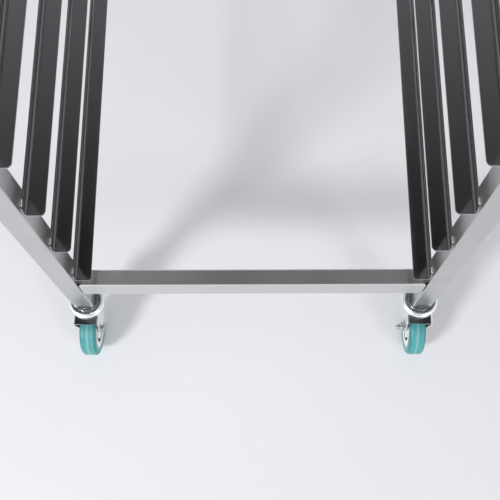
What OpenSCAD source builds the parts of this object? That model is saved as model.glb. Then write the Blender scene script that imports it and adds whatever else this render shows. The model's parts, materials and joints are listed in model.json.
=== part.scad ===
// Sheet pan rack on four swivel casters.
// Four square-tube posts are joined by cross rails at the front and rear, by side rails at the top,
// and by angle runners, whose ledges carry trays that slide in from the front.
// Millimetres, Z up. The front faces -Y, and left and right are as seen from the front.
// The origin is the centre of the footprint, on the floor.

/* [Rack] */
// Clear width between the left and right posts
clear_w = 415; // [340:5:480]
// Depth over the front and rear posts
rack_d = 620; // [460:5:800]
// Number of tiers
tiers = 12; // [2:1:12]
// Height from one tier's ledge to the next
tier_pitch = 110; // [70:5:140]
// Height of the lowest tier's ledge above the floor
first_ledge_z = 230; // [216:1:300]
// Clear height from the top tier's ledge to the underside of the top cross rails
top_clear = 80; // [60:5:140]

/* [Tubes] */
// Outer side of the square post tube
post_side = 25; // [25:1:30]
// Outer corner radius of all the tubes
tube_r = 2; // [1.5:0.1:2.5]
// Wall thickness of all the tubes
tube_wall = 1.2; // [1:0.1:1.5]
// Height of the rectangular cross rails
rail_h = 40; // [30:1:50]
// Depth of the rectangular cross rails
rail_d = 20; // [15:1:25]
// Height of the bottom cross rails' underside above the floor
bottom_rail_z = 173; // [150:1:175]
// Width of the open seam at each end of a cross rail's outer face
seam_w = 2; // [0.5:0.1:3]
// Depth of the open seam, which passes the wall and the tube's corners
seam_d = 2.2; // [1.2:0.1:4]
// Size of the open notch at the seam's upper end
notch = 3.6; // [2:0.1:5]

/* [Runners] */
// Width of the ledge that a tray rests on, from the post's face
ledge_w = 20; // [16:0.5:30]
// Height of the upright leg above the ledge
leg_h = 10.5; // [8:0.5:20]
// Sheet thickness
sheet_t = 1.5; // [1:0.1:2]
// Inner bend radius
bend_r = 3; // [1:0.5:4]
// Distance of the runner's ends behind the posts' faces
runner_setback = 1.5; // [0:0.5:5]
// Radius of the ledge's inner corners, seen from above
ledge_corner_r = 5; // [2:0.5:8]
// How far the leg's ends lean back over their height
leg_lean = 3; // [0:0.5:5]

/* [Caster heads] */
// Height of the posts' bottom ends, which is the casters' overall height
caster_h = 100; // [98:1:104]
// Distance of the axle behind the swivel axis
trail = 24; // [20:1:28]
// Outer radius of the fork's rolled head ring
head_r = 23.7; // [23:0.1:25]
// Radius of the swivel pin
swivel_pin_r = 5; // [4:0.1:6]
// Radius of the threaded stud
stud_r = 6; // [5:0.5:7]
// Number of balls in each swivel race
ball_count = 16; // [8:1:16]
// Turn of the front left caster, and of the rear right one, seen from above
turn_a = -2.2; // [-10:0.1:10]
// Turn of the front right caster, and of the rear left one, seen from above
turn_b = -0.7; // [-10:0.1:10]

/* [Forks] */
// Width over the fork's legs at the crown
fork_w = 34.6; // [32:0.1:36]
// Width over the fork's legs at the axle
foot_w = 24.5; // [24:0.5:33]
// Thickness of the fork's sheet
fork_t = 2; // [1.8:0.1:2.5]
// Outer bend radius between the crown and the legs
fork_bend_r = 3.5; // [3:0.1:5]
// Radius of the rounded end of each leg
boss_r = 7; // [6.5:0.1:8]
// Radius of the sheet's bulge beside the axle, which widens up to the head ring
bulge_r = 16.5; // [14:0.1:18]
// Angle by which the bulge leans forwards
bulge_lean = 15; // [0:1:20]

/* [Wheels] */
// Outer radius of the tyre
wheel_r = 37.5; // [36:0.1:38]
// Width of the tyre
tyre_w = 22; // [20:0.1:24]
// Radius of the tyre's shoulders
shoulder_r = 5; // [3:0.5:6]
// Radius of the core under the tyre
core_r = 28; // [26:0.5:29]
// Radius of the axle bolt's shank
axle_r = 3; // [2.5:0.5:4]

/* [Hidden] */
// Smoothness of arcs and round parts
$fn = 48;
// Oversize of a cutting shape
eps = 1;
// Radial clearance of a pin that turns in its hole
running_fit = 0.06;

// Rack, worked out
post_x = (clear_w + post_side) / 2;
post_y = (rack_d - post_side) / 2;
top_ledge_z = first_ledge_z + (tiers - 1) * tier_pitch;
rack_h = top_ledge_z + top_clear + rail_h;
top_rail_z = rack_h - rail_h;

// Swivel head, heights above the floor
crown_z = caster_h - 14;
cup_z = crown_z + 5.5;
cup_t = 1.6;
ring_step_z = crown_z + 7.6;
bead_r = 1.5;
bead_z = crown_z + 9.3;
bead_path_r = head_r - 3.6;
bead_web_t = 2.2;
ring_inner_r = bead_path_r - 0.9;
shoulder_top_r = 3;
race_r = 16;
ball_r = 2.7;
ball_gap = 0.05;

// Stud and the square plug that it screws into
rivet_h = 3;
rivet_r = 9;
rivet_z = crown_z - fork_t - 1.5;
collar_z = cup_z + cup_t;
collar_r = 8;
plug_h = 25;
stud_top = 12;

// Fork outline, seen from the side
fork_front_y = -trail - boss_r;
fork_rear_y = 19;
fork_rear_drop = 8;

// Radius of the bulge where it meets the crown, just inside the head ring's outer face
bulge_top_r = head_r - 0.8;

// Axle bolt and nut
hex_r = 10 / sqrt(3);
bolt_head_h = 4;
nut_h = 8;
nut_collar_h = 3;
nut_collar_r = 4.6;
thread_end = 4;
hex_chamfer = 0.8;

// Flat seat round the bolt head and nut, and the height at which the legs begin to spread
seat_r = hex_r + 1;
knee_z = wheel_r + seat_r + 1;

// Wheel core, outer radii and half widths
hub_r = 15;
hub_half_w = foot_w / 2 - fork_t - 0.4;
web_half_w = 4.5;
rim_inner_r = 19.5;
rim_half_w = tyre_w / 2 - 0.9;

SIDES = ["left", "right"];
ENDS = ["front", "rear"];
CORNERS = [for (end = ENDS, side = SIDES) [end, side]];
function side_sign(side) = side == "left" ? -1 : 1;
function end_sign(end) = end == "front" ? -1 : 1;
function at(part, corner) = str(part, "_", corner[0], "_", corner[1]);
function runner_name(side, tier) = str("runner_", side, "_", tier < 10 ? "0" : "", tier);
function ledge_z(tier) = first_ledge_z + (tier - 1) * tier_pitch;

CASTER_PARTS = ["swivel_cup", "fork", "axle_bolt", "axle_nut", "wheel_core", "tyre"];

// ---------------------------------------------------------------- shared shapes

// Where a line from a point touches a circle, on the line's left (turn = 1) or right (turn = -1)
function tangent_point(centre, r, from, turn) =
    let (
        reach = from - centre,
        angle = atan2(reach[1], reach[0]) + turn * acos(r / norm(reach))
    )
    centre + r * [cos(angle), sin(angle)];

// Rectangle with rounded corners, centred
module rounded_rect(w, h, r) {
    square([w - 2 * r, h], center = true);
    square([w, h - 2 * r], center = true);
    for (x = [-1, 1], y = [-1, 1]) translate([x * (w / 2 - r), y * (h / 2 - r)]) circle(r);
}

// Cross-section of a rectangular tube, centred
module tube_section(w, h) {
    difference() {
        rounded_rect(w, h, tube_r);
        rounded_rect(w - 2 * tube_wall, h - 2 * tube_wall, tube_r - tube_wall);
    }
}

// Places a part that is drawn for the front left corner at any corner of the rack
module mirrored_to(end, side) {
    mirror([side_sign(side) > 0 ? 1 : 0, 0, 0]) mirror([0, end_sign(end) > 0 ? 1 : 0, 0]) children();
}

// Places a caster part, drawn around its swivel axis and trailing towards -Y, under its post.
// The rear casters trail towards the rear.
module under_post(corner) {
    translate([side_sign(corner[1]) * post_x, end_sign(corner[0]) * post_y, 0])
        rotate(end_sign(corner[0]) > 0 ? 180 : 0)
            children();
}

// Places a caster part that turns with its fork
module turned(corner) {
    under_post(corner)
        rotate(side_sign(corner[1]) * end_sign(corner[0]) > 0 ? turn_a : turn_b)
            children();
}

// Places a part that is drawn around Z on the wheel's axle, with its +Z along +X
module on_axle() {
    translate([0, -trail, wheel_r]) rotate([0, 90, 0]) children();
}

// ---------------------------------------------------------------- frame

// Half of space above the mitre plane, which cuts a front post's top at 45 degrees
module above_front_mitre() {
    translate([0, -rack_d / 2, rack_h]) rotate([-45, 0, 0])
        translate([-post_side, -post_side, 0]) cube([2 * post_side, 3 * post_side, 2 * post_side]);
}

// Half of space below the same mitre plane, which cuts a side rail's front end
module below_front_mitre() {
    translate([0, -rack_d / 2, rack_h]) rotate([135, 0, 0])
        translate([-post_side, -2 * post_side, 0]) cube([2 * post_side, 3 * post_side, 2 * post_side]);
}

module post(corner) {
    color("gainsboro") mirrored_to(corner[0], corner[1]) translate([-post_x, 0, 0]) difference() {
        translate([0, -post_y, caster_h])
            linear_extrude(rack_h - caster_h) tube_section(post_side, post_side);
        above_front_mitre();
    }
}

module top_side_rail(side) {
    color("gainsboro") translate([side_sign(side) * post_x, 0, 0]) difference() {
        translate([0, rack_d / 2, rack_h - post_side / 2]) rotate([90, 0, 0])
            linear_extrude(rack_d) tube_section(post_side, post_side);
        below_front_mitre();
        mirror([0, 1, 0]) below_front_mitre();
    }
}

// Rectangular tube between two posts, flush with their outer faces.
// The seams on its outer face are open, and its other three sides meet the posts.
module cross_rail(end, z) {
    color("silver") mirrored_to(end, "left") translate([0, -rack_d / 2, z]) difference() {
        translate([-clear_w / 2, rail_d / 2, rail_h / 2]) rotate([90, 0, 90])
            linear_extrude(clear_w) tube_section(rail_d, rail_h);
        for (x = [-1, 1]) translate([x * clear_w / 2, -eps, 0]) {
            translate([-seam_w, 0, -eps]) cube([2 * seam_w, seam_d + eps, rail_h + 2 * eps]);
            translate([-notch, 0, rail_h - tube_r]) cube([2 * notch, notch + eps, tube_r + eps]);
        }
    }
}

// ---------------------------------------------------------------- runners

// Section of a left runner: x from the post's face inwards, y up from the ledge's top
module runner_section() {
    outer_r = bend_r + sheet_t;
    translate([outer_r, -sheet_t]) square([ledge_w - outer_r, sheet_t]);
    translate([0, bend_r]) square([sheet_t, leg_h - bend_r]);
    translate([outer_r, bend_r]) intersection() {
        difference() {
            circle(outer_r);
            circle(bend_r);
        }
        translate([-outer_r, -outer_r]) square(outer_r);
    }
}

// What is cut from the front end of a left runner: the ledge's round corner and the leg's lean
module runner_end_cut() {
    translate([ledge_w - ledge_corner_r, -ledge_corner_r, -sheet_t - eps]) difference() {
        translate([0, -eps, 0]) cube([ledge_corner_r + eps, ledge_corner_r + eps, sheet_t + 2 * eps]);
        translate([0, ledge_corner_r, -eps]) cylinder(h = sheet_t + 4 * eps, r = ledge_corner_r);
    }
}

module runner(side, tier) {
    length = rack_d - 2 * runner_setback;
    color("dimgray") mirrored_to("front", side) translate([-clear_w / 2, 0, ledge_z(tier)]) difference() {
        translate([0, length / 2, 0]) rotate([90, 0, 0]) linear_extrude(length) runner_section();
        for (flip = [0, 1]) mirror([0, flip, 0]) translate([0, -length / 2, 0]) {
            translate([0, ledge_corner_r, 0]) runner_end_cut();
            translate([-eps, 0, 0]) rotate([90, 0, 90])
                linear_extrude(bend_r + sheet_t + eps)
                    polygon([[-eps, 0], [0, 0], [leg_lean, leg_h + eps], [-eps, leg_h + eps]]);
        }
    }
}

// ---------------------------------------------------------------- casters

// Pressed cup with ridges round the stud: the race that the balls run under
module swivel_cup() {
    ridge_r = 1.1;
    color("slategray") rotate_extrude() {
        translate([swivel_pin_r, cup_z]) square([bead_path_r - 3 - swivel_pin_r, cup_t]);
        for (r = [10.4, 14.5]) translate([r, cup_z + cup_t]) intersection() {
            circle(ridge_r);
            translate([-ridge_r, -cup_t / 2]) square([2 * ridge_r, ridge_r + cup_t / 2]);
        }
        translate([bead_path_r - 2.8, cup_z + cup_t]) circle(0.9);
    }
}

// Balls of the four swivel races
module swivel_balls() {
    color("lightgray") for (c = CORNERS) under_post(c)
        for (i = [0 : ball_count - 1]) rotate(i * 360 / ball_count)
            translate([race_r, 0, crown_z + ball_r + ball_gap]) sphere(ball_r);
}

// Studs that carry the casters, each riveted below its fork, and the plugs in the posts' ends
module stem_fixings() {
    color("silver") for (c = CORNERS) under_post(c) {
        rotate_extrude() {
            translate([0, rivet_z - rivet_h]) square([rivet_r, rivet_h]);
            translate([0, rivet_z]) square([swivel_pin_r, collar_z - rivet_z]);
            translate([0, collar_z]) square([collar_r, caster_h - collar_z]);
            translate([0, caster_h]) square([stud_r, plug_h + stud_top]);
        }
        translate([0, 0, caster_h]) linear_extrude(plug_h) difference() {
            rounded_rect(post_side - 2 * tube_wall, post_side - 2 * tube_wall, 1);
            circle(stud_r);
        }
    }
}

// Rolled ring round the swivel head: a bead on top of a rounded shoulder
module head_ring_section() {
    shoulder_h = ring_step_z - crown_z;
    difference() {
        union() {
            translate([ring_inner_r, crown_z]) square([head_r - ring_inner_r - shoulder_top_r, shoulder_h]);
            translate([ring_inner_r, crown_z]) square([head_r - ring_inner_r, shoulder_h - shoulder_top_r]);
            translate([head_r - shoulder_top_r, ring_step_z - shoulder_top_r]) circle(shoulder_top_r);
            translate([bead_path_r, bead_z]) circle(bead_r);
            translate([ring_inner_r, crown_z]) square([bead_web_t, bead_z - crown_z]);
        }
        translate([0, crown_z - eps]) square([head_r - 2, shoulder_h - 2 + eps]);
    }
}

// Solid arch: a flat top, rounded corners, legs that close in down to the knee and upright feet
module arch(w, foot, top, r, bottom) {
    centre = [w / 2 - r, top - r];
    knee = [foot / 2, knee_z];
    for (flip = [0, 1]) mirror([flip, 0]) {
        translate(centre) circle(r);
        polygon([
            [-eps, bottom],
            [foot / 2, bottom],
            knee,
            tangent_point(centre, r, knee, 1),
            centre,
            [centre[0], top],
            [-eps, top]
        ]);
    }
}

// Side view of the fork's legs: x forwards (-Y) to the rear (+Y), y up.
// The rear edge runs from the crown to the boss as a tangent.
module fork_side_outline() {
    rear = [fork_rear_y, crown_z - fork_rear_drop];
    centre = [-trail, wheel_r];
    translate(centre) circle(boss_r);
    polygon([
        [fork_front_y, crown_z + eps],
        [fork_front_y, wheel_r],
        centre,
        tangent_point(centre, boss_r, rear, -1),
        rear,
        [fork_rear_y, crown_z + eps]
    ]);
}

// Fork's outer form, or its inner form when inset by the sheet's thickness: an arch that is drawn out
// from front to rear, and a bulge that widens from beside the axle up to the head ring
module fork_form(inset) {
    bottom = wheel_r - boss_r - eps - inset;
    top = crown_z - inset;
    translate([0, head_r + eps, 0]) rotate([90, 0, 0]) linear_extrude(head_r - fork_front_y + 2 * eps)
        arch(fork_w - 2 * inset, foot_w - 2 * inset, top, fork_bend_r - inset, bottom);
    intersection() {
        translate([0, 0, crown_z]) rotate([-bulge_lean, 0, 0]) translate([0, 0, bottom - crown_z - eps])
            cylinder(h = 2 * (crown_z - bottom), r1 = bulge_r - inset, r2 = 2 * bulge_top_r - bulge_r - inset);
        translate([-fork_w, -fork_w, bottom]) cube([2 * fork_w, 2 * fork_w, top - bottom]);
    }
}

module fork() {
    color("lightsteelblue") difference() {
        union() {
            intersection() {
                union() {
                    difference() {
                        fork_form(0);
                        fork_form(fork_t);
                        for (flip = [0, 1]) mirror([flip, 0, 0]) on_axle()
                            translate([0, 0, foot_w / 2]) cylinder(h = fork_w, r = seat_r);
                    }
                    for (flip = [0, 1]) mirror([flip, 0, 0]) on_axle()
                        translate([0, 0, foot_w / 2 - fork_t]) cylinder(h = fork_t, r = seat_r);
                }
                rotate([90, 0, 90])
                    translate([0, 0, -fork_w]) linear_extrude(2 * fork_w) fork_side_outline();
            }
            rotate_extrude() head_ring_section();
        }
        translate([0, 0, crown_z - 2 * fork_t]) cylinder(h = 2 * fork_t + eps, r = swivel_pin_r + running_fit);
        on_axle() cylinder(h = 2 * fork_w, r = axle_r, center = true);
    }
}

// Hexagon of a bolt head or nut, with a flat on top and a chamfer at its outer end
module hexagon(h) {
    intersection() {
        rotate(30) cylinder(h = h, r = hex_r, $fn = 6);
        cylinder(h = h, r1 = hex_r + h - hex_chamfer, r2 = hex_r - hex_chamfer);
    }
}

module axle_bolt() {
    grip = foot_w / 2;
    color("silver") on_axle() {
        translate([0, 0, grip]) hexagon(bolt_head_h);
        translate([0, 0, -grip - nut_h - thread_end]) cylinder(h = 2 * grip + nut_h + thread_end, r = axle_r);
    }
}

module axle_nut() {
    color("silver") on_axle() mirror([0, 0, 1]) translate([0, 0, foot_w / 2]) difference() {
        union() {
            hexagon(nut_h - nut_collar_h);
            cylinder(h = nut_h, r = nut_collar_r);
        }
        translate([0, 0, -eps]) cylinder(h = nut_h + 2 * eps, r = axle_r);
    }
}

module wheel_core() {
    bore_r = axle_r + running_fit;
    color("ivory") on_axle() rotate_extrude() {
        translate([bore_r, -hub_half_w]) square([hub_r - bore_r, 2 * hub_half_w]);
        translate([bore_r, -web_half_w]) square([core_r - bore_r, 2 * web_half_w]);
        translate([rim_inner_r, -rim_half_w]) square([core_r - rim_inner_r, 2 * rim_half_w]);
    }
}

module tyre() {
    half_w = tyre_w / 2;
    color("lightseagreen") on_axle() rotate_extrude() difference() {
        union() {
            translate([core_r, -half_w]) square([wheel_r - shoulder_r - core_r, tyre_w]);
            translate([core_r, -half_w + shoulder_r]) square([wheel_r - core_r, tyre_w - 2 * shoulder_r]);
            for (z = [-1, 1]) translate([wheel_r - shoulder_r, z * (half_w - shoulder_r)]) circle(shoulder_r);
        }
        translate([0, -tyre_w]) square([core_r, 2 * tyre_w]);
    }
}

// ---------------------------------------------------------------- nodes

for (c = CORNERS) {
    post(c);
    under_post(c) swivel_cup();
    turned(c) fork();
    turned(c) axle_bolt();
    turned(c) axle_nut();
    turned(c) wheel_core();
    turned(c) tyre();
}
for (end = ENDS) {
    cross_rail(end, bottom_rail_z);
    cross_rail(end, top_rail_z);
}
for (side = SIDES) {
    top_side_rail(side);
    for (tier = [1 : tiers]) runner(side, tier);
}
stem_fixings();
swivel_balls();
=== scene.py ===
"""Sheet pan rack, seen from above its front end, on a pale studio floor.

Metres, Z up, front towards -Y, the same frame as the CAD model.
"""

import json
import math

import bmesh
import bpy
from mathutils import Euler, Matrix, Vector


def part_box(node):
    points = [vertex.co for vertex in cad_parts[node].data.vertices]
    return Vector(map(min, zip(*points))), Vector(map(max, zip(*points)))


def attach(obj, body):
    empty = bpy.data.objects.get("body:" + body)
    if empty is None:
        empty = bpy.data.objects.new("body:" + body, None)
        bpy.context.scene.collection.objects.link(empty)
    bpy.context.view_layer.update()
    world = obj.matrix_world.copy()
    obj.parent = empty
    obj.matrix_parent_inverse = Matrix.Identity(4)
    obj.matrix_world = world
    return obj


MM = 0.001

# ---------------------------------------------------------------- camera and light

# The camera was fitted to the photograph's straight edges. Its angles are degrees below the
# horizon, to the left, and of tilt.
CAMERA_AT = (0.0081, -0.5729, 1.1716)
CAMERA_PITCH, CAMERA_YAW, CAMERA_ROLL = 72.256, 1.965, -2.073
CAMERA_LENS_MM, CAMERA_SENSOR_MM = 60.596, 36.0

KEY_AT, KEY_WATTS, KEY_SIZE = (-1.95, -2.23, 2.27), 68, 0.75
FILL_AT, FILL_WATTS, FILL_SIZE = (1.75, -2.40, 2.27), 18, 0.9
LIGHTS_AIM = (0, -0.2, 0.1)
# Pairs of the upward part of a direction and the room's grey there, from the horizon to overhead
SKY = (
    (0.0, 1.0),
    (0.45, 0.96),
    (0.60, 0.75),
    (0.70, 0.40),
    (0.80, 0.20),
    (0.88, 0.09),
    (0.93, 0.025),
    (1.0, 0.02),
)
# Blue against the other two channels
SKY_BLUE = 1.02
# Strength of the room in front of the rack and behind it, and the backward parts of a direction
# between which it changes
SKY_FRONT, SKY_BACK = 1.40, 1.08
SKY_CHANGE = (-0.2, 0.4)
FLOOR_HALF = 6.0

# ---------------------------------------------------------------- rack

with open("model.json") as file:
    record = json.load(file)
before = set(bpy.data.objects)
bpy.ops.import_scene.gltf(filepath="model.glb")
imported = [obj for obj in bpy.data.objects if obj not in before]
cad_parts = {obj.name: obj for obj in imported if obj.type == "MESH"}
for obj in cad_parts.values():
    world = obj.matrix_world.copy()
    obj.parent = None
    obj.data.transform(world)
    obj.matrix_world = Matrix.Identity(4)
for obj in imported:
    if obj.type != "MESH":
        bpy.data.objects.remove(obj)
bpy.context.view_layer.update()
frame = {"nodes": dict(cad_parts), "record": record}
nodes = frame["nodes"]
joints = {joint["name"]: joint for joint in frame["record"]["behaviour"]["joints"]}

ENDS = {"front": -1, "rear": 1}
SIDES = {"left": -1, "right": 1}
CORNERS = [(end, side) for end in ENDS for side in SIDES]
TIERS = sum(name.startswith("runner_right") for name in nodes)

post_low, post_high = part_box("post_front_right")
INNER_FACE = post_low.x
OUTER_FACE = post_high.x
RACK_TOP = post_high.z
# Distance of the nut's outer end from the wheel's centre
NUT_END = 20.25 * MM
# Height of the head ring above the fork's crown
RING_HEIGHT = 10.8 * MM
# Tyre: distance of the dark line on each shoulder from the middle plane, radius of the dark line on
# each side, and the radii between which a side turns paler with a painted reflection
SHOULDER_LINE = 9.2 * MM
SIDE_LINE_RADIUS = 33.5 * MM
SHEEN_SIDE_RADII = (33.0 * MM, 31.5 * MM)
# Wheel core: painted shade grows between these depths, as distances from the middle plane, and
# these radii
SHADE_DEPTHS = (9.6 * MM, 7.5 * MM)
SHADE_RADII = (10.0 * MM, 14.0 * MM)


def at_corner(part, end, side):
    return f"{part}_{end}_{side}"


# ---------------------------------------------------------------- materials

ZINC = (0.84, 0.86, 0.88)
# Painted shade on the top of a fork's crown, and on a fork's inside
SHADED_CROWN_ZINC = (0.50, 0.54, 0.58)
SHADED_ZINC = (0.09, 0.10, 0.11)
SHADED_STEEL = (0.14, 0.14, 0.145)
STRAW = (0.66, 0.64, 0.58)
BROWN = (0.36, 0.32, 0.27)
SOOT = (0.20, 0.19, 0.18)
TEAL = (0.036, 0.275, 0.295)
WORN_TEAL = (0.11, 0.36, 0.335)
PARTING_TEAL = (0.30, 0.44, 0.40)
SHEEN_TEAL = (0.30, 0.45, 0.44)
CREAM = (0.80, 0.79, 0.75)
# Painted shade in the deep groove of a wheel core
GROOVE_SHADE = (0.10, 0.085, 0.07)


class Look:
    """A material whose node tree is built by short calls."""

    # Colour sockets of a Mix node: the two inputs and the result
    BELOW, ABOVE, MIXED = 6, 7, 2

    def __init__(self, name, color, roughness, **sockets):
        self.material = bpy.data.materials.new(name)
        self.material.use_nodes = True
        self.tree = self.material.node_tree
        self.shader = self.tree.nodes["Principled BSDF"]
        self.shader.inputs["Base Color"].default_value = (*color, 1.0)
        self.shader.inputs["Roughness"].default_value = roughness
        for socket, value in sockets.items():
            self.shader.inputs[socket.replace("_", " ")].default_value = value
        self.place = self.add("ShaderNodeTexCoord").outputs["Object"]
        self.color = None
        self.normal = None

    def add(self, kind, **settings):
        node = self.tree.nodes.new(kind)
        for name, value in settings.items():
            setattr(node, name, value)
        return node

    def link(self, source, target):
        self.tree.links.new(source, target)

    def feed(self, socket, value):
        """Sets a socket to a number or a vector, or links it to another node's output."""
        if isinstance(value, bpy.types.NodeSocket):
            self.link(value, socket)
        else:
            socket.default_value = value

    def math(self, operation, *values):
        node = self.add("ShaderNodeMath", operation=operation)
        for socket, value in zip(node.inputs, values):
            self.feed(socket, value)
        return node.outputs[0]

    def vector(self, operation, *values):
        node = self.add("ShaderNodeVectorMath", operation=operation)
        for socket, value in zip(node.inputs, values):
            self.feed(socket, value)
        return node.outputs["Value" if operation in ("DOT_PRODUCT", "LENGTH") else "Vector"]

    def noise(self, scale, detail=3.0, rough=0.5):
        """Noise with its own number of features per metre along each axis."""
        stretch = self.vector("MULTIPLY", self.place, scale)
        node = self.add("ShaderNodeTexNoise")
        node.inputs["Scale"].default_value = 1.0
        node.inputs["Detail"].default_value = detail
        node.inputs["Roughness"].default_value = rough
        self.link(stretch, node.inputs["Vector"])
        return node.outputs["Fac"]

    def triple(self, value):
        """The same number on all three axes."""
        node = self.add("ShaderNodeCombineXYZ")
        for socket in node.inputs:
            self.link(value, socket)
        return node.outputs[0]

    def fit(self, value, low, high, to_low=0.0, to_high=1.0):
        """Maps the range from low to high to another one, and stays level beyond it."""
        node = self.add("ShaderNodeMapRange")
        for socket, number in zip(node.inputs, (value, low, high, to_low, to_high)):
            self.feed(socket, number)
        return node.outputs[0]

    def near(self, value, centre, half_width, soft, strength=1.0):
        """A mask that is high where the value is within half_width of the centre."""
        away = self.math("ABSOLUTE", self.math("SUBTRACT", value, centre))
        return self.fit(away, half_width, half_width + soft, strength, 0.0)

    def tint(self, mask, color):
        """Mixes a colour over what is there so far, where the mask is high."""
        node = self.add("ShaderNodeMix", data_type="RGBA")
        below = self.color or self.shader.inputs["Base Color"].default_value
        self.feed(node.inputs["Factor"], mask)
        self.feed(node.inputs[self.BELOW], below)
        node.inputs[self.ABOVE].default_value = (*color, 1.0)
        self.color = node.outputs[self.MIXED]
        self.link(self.color, self.shader.inputs["Base Color"])

    def roughen(self, value):
        self.link(value, self.shader.inputs["Roughness"])

    def brush(self, axis, strength):
        """Stretches reflections across the lines of a brushed finish that run along the axis."""
        tangent = self.add("ShaderNodeTangent", direction_type="RADIAL", axis=axis).outputs[0]
        self.link(tangent, self.shader.inputs["Tangent"])
        self.shader.inputs["Anisotropic"].default_value = strength

    def facing(self, direction):
        """How far the surface faces a direction of the rest pose, from -1 to 1."""
        normal = self.add("ShaderNodeTexCoord").outputs["Normal"]
        return self.vector("DOT_PRODUCT", normal, direction)

    def soften_edges(self, radius):
        """Rounds the shading of sharp edges."""
        self.normal = self.add("ShaderNodeBevel", samples=4).outputs[0]
        self.normal.node.inputs["Radius"].default_value = radius
        self.link(self.normal, self.shader.inputs["Normal"])

    def bump(self, height, depth):
        """Adds relief of the given depth in metres."""
        node = self.add("ShaderNodeBump")
        node.inputs["Strength"].default_value = 1.0
        node.inputs["Distance"].default_value = depth
        self.link(height, node.inputs["Height"])
        if self.normal:
            self.link(self.normal, node.inputs["Normal"])
        self.normal = node.outputs[0]
        self.link(self.normal, self.shader.inputs["Normal"])


def shade(color, factor):
    return tuple(factor * channel for channel in color)


def brushed_steel(name, axis, color, roughness, brush=0.75):
    """Stainless steel brushed along one axis, with faint smears from handling."""
    look = Look(name, color, roughness, Metallic=1.0)
    look.soften_edges(0.5 * MM)
    look.brush(axis, brush)
    lines = look.noise(tuple(6.0 if letter == axis else 1500.0 for letter in "XYZ"), detail=2.0)
    smears = look.noise((16.0, 16.0, 16.0), detail=4.0, rough=0.6)
    look.tint(look.fit(lines, 0.3, 0.7, 0.0, 0.25), shade(color, 0.82))
    look.tint(look.fit(smears, 0.45, 0.7, 0.0, 0.25), shade(color, 0.88))
    rough = look.math("ADD", look.fit(lines, 0.3, 0.7, -0.03, 0.04), roughness)
    look.roughen(look.math("ADD", look.fit(smears, 0.3, 0.7, -0.03, 0.04), rough))
    return look


def paint_fold_shade(look):
    """Paints shade on the runners' upright legs and bends, on the side that faces the trays."""
    side = look.math("SIGN", look.vector("DOT_PRODUCT", look.place, (1.0, 0.0, 0.0)))
    inwards = look.math("MULTIPLY", side, look.facing((-1.0, 0.0, 0.0)))
    # Painted shade on the faces that turn towards the trays
    look.tint(look.fit(inwards, 0.12, 0.5), SHADED_STEEL)


def heat_tint(look):
    """Temper colours on the rails' tops: dark by each weld, then a bright strip and a brown one.

    A strip holds its colour, its distance from the weld, half its width, softness and strength.
    """
    strips = (
        (STRAW, 15 * MM, 2 * MM, 1.5 * MM, 0.6),
        (BROWN, 21 * MM, 1.5 * MM, 2.5 * MM, 0.55),
        (SOOT, 2 * MM, 2 * MM, 2 * MM, 0.7),
    )
    across = look.math("ABSOLUTE", look.vector("DOT_PRODUCT", look.place, (1.0, 0.0, 0.0)))
    wander = look.fit(look.noise((180.0, 180.0, 180.0)), 0.3, 0.7, -MM, MM)
    ragged = look.math("ADD", across, wander)
    on_top = look.fit(look.facing((0.0, 0.0, 1.0)), 0.7, 0.95)
    for color, distance, half_width, soft, strength in strips:
        strip = look.near(ragged, INNER_FACE - distance, half_width, soft, strength)
        look.tint(look.math("MULTIPLY", strip, on_top), color)


def pressed_zinc(name, color, roughness):
    """Pressed, zinc plated steel, with the soft waviness of the pressing, and its small stains."""
    look = Look(name, color, roughness, Metallic=1.0)
    look.soften_edges(0.35 * MM)
    waves = look.noise((70.0, 70.0, 70.0), detail=2.0)
    stains = look.noise((420.0, 420.0, 420.0), detail=5.0, rough=0.65)
    look.tint(look.fit(stains, 0.45, 0.75, 0.0, 0.3), shade(color, 0.88))
    look.bump(waves, 0.12 * MM)
    return look, stains


def zinc(name, color, roughness):
    """Zinc plated steel whose stains are rougher than the rest."""
    look, stains = pressed_zinc(name, color, roughness)
    look.roughen(look.fit(stains, 0.3, 0.7, roughness - 0.03, roughness + 0.04))
    return look


def round_axle(look, joint):
    """Distance along a wheel's axle from its centre, radius from the axle, and height above it."""
    offset = look.vector("SUBTRACT", look.place, joint["pos_m"])
    across = look.vector("DOT_PRODUCT", offset, joint["axis"])
    along = look.vector("MULTIPLY", look.triple(across), joint["axis"])
    radius = look.vector("LENGTH", look.vector("SUBTRACT", offset, along))
    height = look.vector("DOT_PRODUCT", offset, (0.0, 0.0, 1.0))
    return across, radius, height


def fork_zinc(name, joint):
    """A fork's zinc, with a smoother crown, and painted shade on the crown's top and on the inside
    that faces the wheel.
    """
    roughness, crown_gloss = 0.28, 0.12
    look, _ = pressed_zinc(name, ZINC, roughness)
    across, _, height = round_axle(look, joint)
    crown_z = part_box("fork_front_left")[1].z - RING_HEIGHT - joint["pos_m"][2]
    below = look.fit(height, crown_z, crown_z + 0.5 * MM, 1.0, 0.0)
    crown = look.math("MULTIPLY", below, look.fit(look.facing((0.0, 0.0, 1.0)), 0.7, 0.95))
    outwards = look.math("MULTIPLY", look.math("SIGN", across), look.facing(joint["axis"]))
    shaded_inside = look.math("MULTIPLY", below, look.fit(outwards, -0.5, -0.8))
    # Painted shade on the crown's top, and darker painted shade on the inside that faces the wheel
    look.tint(crown, SHADED_CROWN_ZINC)
    look.tint(shaded_inside, SHADED_ZINC)
    look.roughen(look.math("SUBTRACT", roughness, look.math("MULTIPLY", crown, crown_gloss)))
    return look


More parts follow.
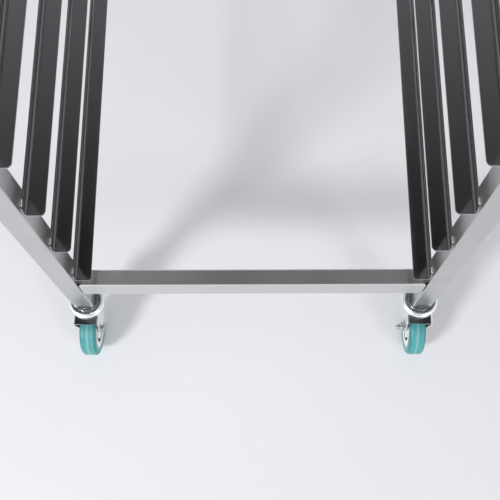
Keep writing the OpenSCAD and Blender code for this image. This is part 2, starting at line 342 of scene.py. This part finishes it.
def rubber(name, joint):
    """Moulded rubber in bands round the tread, with a pale parting line, dark side lines and a
    painted reflection on each side near the core.
    """
    look = Look(name, TEAL, 0.40)
    across, radius, _ = round_axle(look, joint)
    bands = look.noise((300.0, 10.0, 10.0), detail=2.0)
    mottle = look.noise((160.0, 160.0, 160.0), detail=4.0)
    grit = look.noise((2500.0, 2500.0, 2500.0), detail=2.0)
    look.tint(look.fit(bands, 0.35, 0.65, 0.0, 0.7), WORN_TEAL)
    look.tint(look.fit(mottle, 0.4, 0.7, 0.0, 0.3), shade(TEAL, 0.75))
    look.tint(look.near(across, 0.0, 0.7 * MM, 1.4 * MM, 0.45), PARTING_TEAL)
    shoulders = look.near(look.math("ABSOLUTE", across), SHOULDER_LINE, 0.5 * MM, MM, 0.5)
    look.tint(shoulders, shade(TEAL, 0.4))
    look.tint(look.near(radius, SIDE_LINE_RADIUS, 0.6 * MM, MM, 0.4), shade(TEAL, 0.5))
    # Painted reflection: the side turns paler towards the core
    look.tint(look.fit(radius, *SHEEN_SIDE_RADII, 0.0, 0.3), SHEEN_TEAL)
    look.roughen(look.fit(mottle, 0.3, 0.7, 0.36, 0.46))
    look.bump(grit, 0.015 * MM)
    return look


def wheel_plastic(name, joint):
    """A wheel core's cream plastic, with painted shade in the deep groove round the hub."""
    look = moulded(name, CREAM)
    across, radius, _ = round_axle(look, joint)
    deep = look.fit(look.math("ABSOLUTE", across), *SHADE_DEPTHS)
    outside_bore = look.fit(radius, *SHADE_RADII)
    # Painted shade where the groove is deep, outside the bore
    look.tint(look.math("MULTIPLY", deep, outside_bore), GROOVE_SHADE)
    return look


def moulded(name, color):
    """Moulded plastic with a faint orange-peel skin."""
    look = Look(name, color, 0.35)
    peel = look.noise((700.0, 700.0, 700.0), detail=2.0)
    flow = look.noise((60.0, 60.0, 60.0), detail=3.0)
    look.tint(look.fit(flow, 0.4, 0.7, 0.0, 0.25), shade(color, 0.9))
    look.roughen(look.fit(peel, 0.3, 0.7, 0.3, 0.42))
    look.bump(peel, 0.02 * MM)
    return look


def weld_metal(name):
    """Bright weld metal with small brown spots."""
    look = Look(name, (0.66, 0.65, 0.62), 0.28, Metallic=1.0)
    spots = look.noise((900.0, 900.0, 900.0), detail=3.0)
    look.tint(look.fit(spots, 0.45, 0.65, 0.0, 0.6), (0.42, 0.36, 0.28))
    look.roughen(look.fit(spots, 0.3, 0.7, 0.2, 0.45))
    look.bump(spots, 0.05 * MM)
    return look


# Posts, rails and runners are one steel; their greys differ part by part as painted light and
# shade, darkest on the runners
LOOKS = {
    "post": brushed_steel("post_steel", "Z", (0.57, 0.57, 0.57), 0.34),
    "cross_rail": brushed_steel("cross_rail_steel", "X", (0.66, 0.66, 0.66), 0.35),
    "side_rail": brushed_steel("side_rail_steel", "Y", (0.60, 0.60, 0.60), 0.30),
    "runner": brushed_steel("runner_steel", "Y", (0.42, 0.42, 0.43), 0.10, 0.3),
    "swivel_cup": zinc("cup_zinc", (0.50, 0.53, 0.56), 0.26),
    "axle": zinc("bolt_zinc", (0.62, 0.64, 0.65), 0.24),
    "swivel_balls": zinc("ball_steel", (0.66, 0.67, 0.68), 0.1),
    "weld": weld_metal("weld_metal"),
    "nylon": moulded("nylon", (0.07, 0.08, 0.09)),
}
heat_tint(LOOKS["cross_rail"])
paint_fold_shade(LOOKS["runner"])

BY_WHEEL = {"tyre": rubber, "fork": fork_zinc, "wheel_core": wheel_plastic}


def look_of(node):
    """The look of a CAD node. Parts whose pattern runs round an axle have one for each wheel."""
    for part, make in BY_WHEEL.items():
        if node.startswith(part):
            return make(f"{node}_look", joints[node.replace(part, "wheel_spin")])
    if "rail_front" in node or "rail_rear" in node:
        return LOOKS["cross_rail"]
    if "rail" in node:
        return LOOKS["side_rail"]
    if node.startswith("stem"):
        return LOOKS["axle"]
    return next(look for key, look in LOOKS.items() if node.startswith(key))


for name, node in nodes.items():
    node.data.materials.clear()
    node.data.materials.append(look_of(name).material)


# ---------------------------------------------------------------- welds and small parts

RUNNER_BEAD, TOP_BEAD = 1.2 * MM, 1.2 * MM
RAIL_SIDE_BEAD, RAIL_FLAT_BEAD = 1.3 * MM, 1.1 * MM
RIPPLE_PITCH, RIPPLE_DEPTH = 1.5 * MM, 0.09
BEAD_STEP = 0.35 * MM
# Thickness of a bead at its very ends, squared, as a share of the full thickness
BEAD_BLUNT = 0.15
# Distance of a bead's middle from the post's face, on the rack's inner side
RUNNER_BEAD_OFF, RAIL_BEAD_OFF = 0.4 * MM, 0.3 * MM
# Runner's bead: distance from the runner's end, and length
RUNNER_BEAD_AT, RUNNER_BEAD_LENGTH = 5 * MM, 7 * MM
# Distance of the first crest past the nut
THREAD_START = 0.7 * MM
THREAD_PITCH, THREAD_TURNS = 1.0 * MM, 2.8


def bridge(bm, row, following):
    """Faces between two rows of vertices, each of which is a closed loop."""
    for i in range(len(row)):
        j = (i + 1) % len(row)
        bm.faces.new((row[i], row[j], following[j], following[i]))


def swept(bm, points, radii, sides=8):
    """A closed tube through the points, which lie roughly along one direction."""
    along = (points[-1] - points[0]).normalized()
    first = along.orthogonal().normalized()
    second = along.cross(first)
    rings = []
    for point, radius in zip(points, radii):
        turns = [2 * math.pi * i / sides for i in range(sides)]
        offsets = [radius * (math.cos(t) * first + math.sin(t) * second) for t in turns]
        rings.append([bm.verts.new(point + offset) for offset in offsets])
    for ring, following in zip(rings, rings[1:]):
        bridge(bm, ring, following)
    bm.faces.new(reversed(rings[0]))
    bm.faces.new(rings[-1])


def weld_bead(bm, start, end, radius):
    """A bead with one ripple for every drop of weld metal, and tapered ends."""
    start, end = Vector(start), Vector(end)
    length = (end - start).length
    steps = max(8, round(length / BEAD_STEP))
    points, radii = [], []
    for i in range(steps + 1):
        done = i / steps
        from_end = min(done, 1 - done) * length
        taper = math.sqrt(min(1.0, BEAD_BLUNT + from_end / radius))
        ripple = math.sin(2 * math.pi * done * length / RIPPLE_PITCH)
        points.append(start.lerp(end, done))
        radii.append(radius * taper * (1 + RIPPLE_DEPTH * ripple))
    swept(bm, points, radii)


def piece(name, bm, look, body):
    """Makes the mesh into a smoothly shaded object that moves with a CAD body."""
    bmesh.ops.recalc_face_normals(bm, faces=bm.faces)
    mesh = bpy.data.meshes.new(name)
    bm.to_mesh(mesh)
    bm.free()
    mesh.materials.append(LOOKS[look].material)
    for face in mesh.polygons:
        face.use_smooth = True
    thing = bpy.data.objects.new(name, mesh)
    bpy.context.scene.collection.objects.link(thing)
    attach(thing, body)


def runner_welds(side):
    """A bead on top of each runner's leg where it crosses a post."""
    bm = bmesh.new()
    for tier in range(1, TIERS + 1):
        _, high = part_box(f"runner_{side}_{tier:02d}")
        x = SIDES[side] * (INNER_FACE - RUNNER_BEAD_OFF)
        for way in ENDS.values():
            y = way * (high.y - RUNNER_BEAD_AT)
            end = (x, y - way * RUNNER_BEAD_LENGTH, high.z)
            weld_bead(bm, (x, y, high.z), end, RUNNER_BEAD)
    piece(f"weld_runners_{side}", bm, "weld", "rack")


def rail_welds(rail):
    """Beads round a cross rail's ends: behind, under, and above unless that is the rack's top."""
    low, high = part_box(rail)
    way = 1 if high.y > 0 else -1
    inner_y, outer_y = (low.y, high.y) if high.y > 0 else (high.y, low.y)
    bm = bmesh.new()
    for side in SIDES.values():
        x = side * (INNER_FACE - RAIL_BEAD_OFF)
        start = (x, inner_y, low.z + 3 * MM)
        weld_bead(bm, start, (x, inner_y, high.z - 3 * MM), RAIL_SIDE_BEAD)
        for z in (low.z, high.z):
            if z < RACK_TOP - MM:
                far = outer_y - way * 6 * MM
                weld_bead(bm, (x, inner_y + way * 2 * MM, z), (x, far, z), RAIL_FLAT_BEAD)
    piece(f"weld_{rail}", bm, "weld", "rack")


def mitre_welds():
    """A bead under each corner of the top frame, where a side rail meets a post."""
    bm = bmesh.new()
    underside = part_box("top_rail_right")[0].z
    for way in ENDS.values():
        for side in SIDES.values():
            start = (side * (INNER_FACE + 3 * MM), way * post_high.y, underside)
            end = (side * (OUTER_FACE - 3 * MM), way * post_high.y, underside)
            weld_bead(bm, start, end, TOP_BEAD)
    piece("weld_top_corners", bm, "weld", "rack")


def axle_rows(bm, end, side, steps_per_turn, profiles):
    """A row of vertices for each profile, one step further round the axle than the last one.

    A profile holds pairs of a radius and a distance from the wheel's centre towards the nut.
    """
    joint = joints[at_corner("wheel_spin", end, side)]
    centre = Vector(joint["pos_m"])
    head = Vector(joint["axis"]) * (1 if end == "front" else -1)
    sideways = head.orthogonal().normalized()
    up = head.cross(sideways)
    rows = []
    for i, profile in enumerate(profiles):
        turn = 2 * math.pi * i / steps_per_turn
        out = math.cos(turn) * sideways + math.sin(turn) * up
        rows.append([bm.verts.new(centre - head * far + out * radius) for radius, far in profile])
    return rows


def nylon_ring(end, side):
    """The insert that locks the nut on the thread."""
    # Pairs of a radius and a distance past the nut, in millimetres
    section = ((3.05, -0.6), (3.05, 0.2), (3.5, 0.4), (4.2, 0.15), (4.2, -0.6))
    profile = [(radius * MM, NUT_END + out * MM) for radius, out in section]
    steps = 32
    bm = bmesh.new()
    rings = axle_rows(bm, end, side, steps, [profile] * steps)
    for i in range(steps):
        bridge(bm, rings[i], rings[(i + 1) % steps])
    fork = at_corner("caster_fork", end, side)
    piece(at_corner("lock_ring", end, side), bm, "nylon", fork)


def bolt_thread(end, side):
    """The thread's crests on the bolt's free end."""
    # Pairs of a radius and a distance from the crest, in millimetres
    section = ((2.95, -0.3), (3.2, 0.0), (2.95, 0.3))
    steps = 20
    profiles = []
    for i in range(int(THREAD_TURNS * steps) + 1):
        crest = NUT_END + THREAD_START + THREAD_PITCH * i / steps
        profiles.append([(radius * MM, crest + out * MM) for radius, out in section])
    bm = bmesh.new()
    rows = axle_rows(bm, end, side, steps, profiles)
    for row, following in zip(rows, rows[1:]):
        bridge(bm, row, following)
    bm.faces.new(rows[0])
    bm.faces.new(reversed(rows[-1]))
    fork = at_corner("caster_fork", end, side)
    piece(at_corner("thread", end, side), bm, "axle", fork)


for side in SIDES:
    runner_welds(side)
for rail in ("bottom_rail_front", "bottom_rail_rear", "top_rail_front", "top_rail_rear"):
    rail_welds(rail)
mitre_welds()
for corner in CORNERS:
    nylon_ring(*corner)
    bolt_thread(*corner)


# ---------------------------------------------------------------- floor, light and camera


def studio_floor():
    """A sheet of pale paper that reaches far past the rack, with faint clouds of tone."""
    mesh = bpy.data.meshes.new("floor")
    half = FLOOR_HALF
    corners = [(-half, -half, 0), (half, -half, 0), (half, half, 0), (-half, half, 0)]
    mesh.from_pydata(corners, [], [(0, 1, 2, 3)])
    floor = bpy.data.objects.new("floor", mesh)
    bpy.context.scene.collection.objects.link(floor)
    look = Look("floor_paper", (0.80, 0.80, 0.825), 0.6)
    tone = look.noise((1.5, 1.5, 1.5), detail=2.0)
    look.tint(look.fit(tone, 0.3, 0.7, 0.0, 0.08), (0.76, 0.76, 0.79))
    mesh.materials.append(look.material)


def softbox(name, at, watts, size):
    """A round soft light that points at the rack's front end."""
    lamp = bpy.data.lights.new(name, "AREA")
    lamp.shape = "DISK"
    lamp.size = size
    lamp.energy = watts
    light = bpy.data.objects.new(name, lamp)
    light.location = at
    to_rack = Vector(LIGHTS_AIM) - Vector(at)
    light.rotation_euler = to_rack.to_track_quat("-Z", "Y").to_euler()
    bpy.context.scene.collection.objects.link(light)


def studio_world():
    """A room that is dark overhead, pale towards the horizon and brighter in front of the rack."""
    world = bpy.data.worlds.new("studio")
    bpy.context.scene.world = world
    world.use_nodes = True
    tree = world.node_tree
    background = tree.nodes["Background"]
    place = tree.nodes.new("ShaderNodeTexCoord")
    split = tree.nodes.new("ShaderNodeSeparateXYZ")
    ramp = tree.nodes.new("ShaderNodeValToRGB")
    tree.links.new(place.outputs["Generated"], split.inputs[0])
    tree.links.new(split.outputs["Z"], ramp.inputs["Fac"])
    tree.links.new(ramp.outputs["Color"], background.inputs["Color"])
    behind = tree.nodes.new("ShaderNodeMapRange")
    for socket, number in zip(behind.inputs[1:], (*SKY_CHANGE, SKY_FRONT, SKY_BACK)):
        socket.default_value = number
    tree.links.new(split.outputs["Y"], behind.inputs["Value"])
    tree.links.new(behind.outputs[0], background.inputs["Strength"])
    while len(ramp.color_ramp.elements) < len(SKY):
        ramp.color_ramp.elements.new(0.5)
    for element, (height, grey) in zip(ramp.color_ramp.elements, SKY):
        element.position = height
        element.color = (grey, grey, SKY_BLUE * grey, 1.0)


def studio_camera():
    """The photograph's camera."""
    lens = bpy.data.cameras.new("camera")
    lens.lens = CAMERA_LENS_MM
    lens.sensor_width = CAMERA_SENSOR_MM
    lens.clip_start = 0.01
    camera = bpy.data.objects.new("camera", lens)
    turn = Euler((math.radians(90 - CAMERA_PITCH), 0, math.radians(CAMERA_YAW)), "XYZ").to_matrix()
    roll = Matrix.Rotation(math.radians(CAMERA_ROLL), 3, "Z")
    camera.rotation_euler = (turn @ roll).to_euler()
    camera.location = CAMERA_AT
    bpy.context.scene.collection.objects.link(camera)
    bpy.context.scene.camera = camera


studio_floor()
softbox("key", KEY_AT, KEY_WATTS, KEY_SIZE)
softbox("fill", FILL_AT, FILL_WATTS, FILL_SIZE)
studio_world()
studio_camera()
bpy.context.scene.view_settings.view_transform = "Standard"
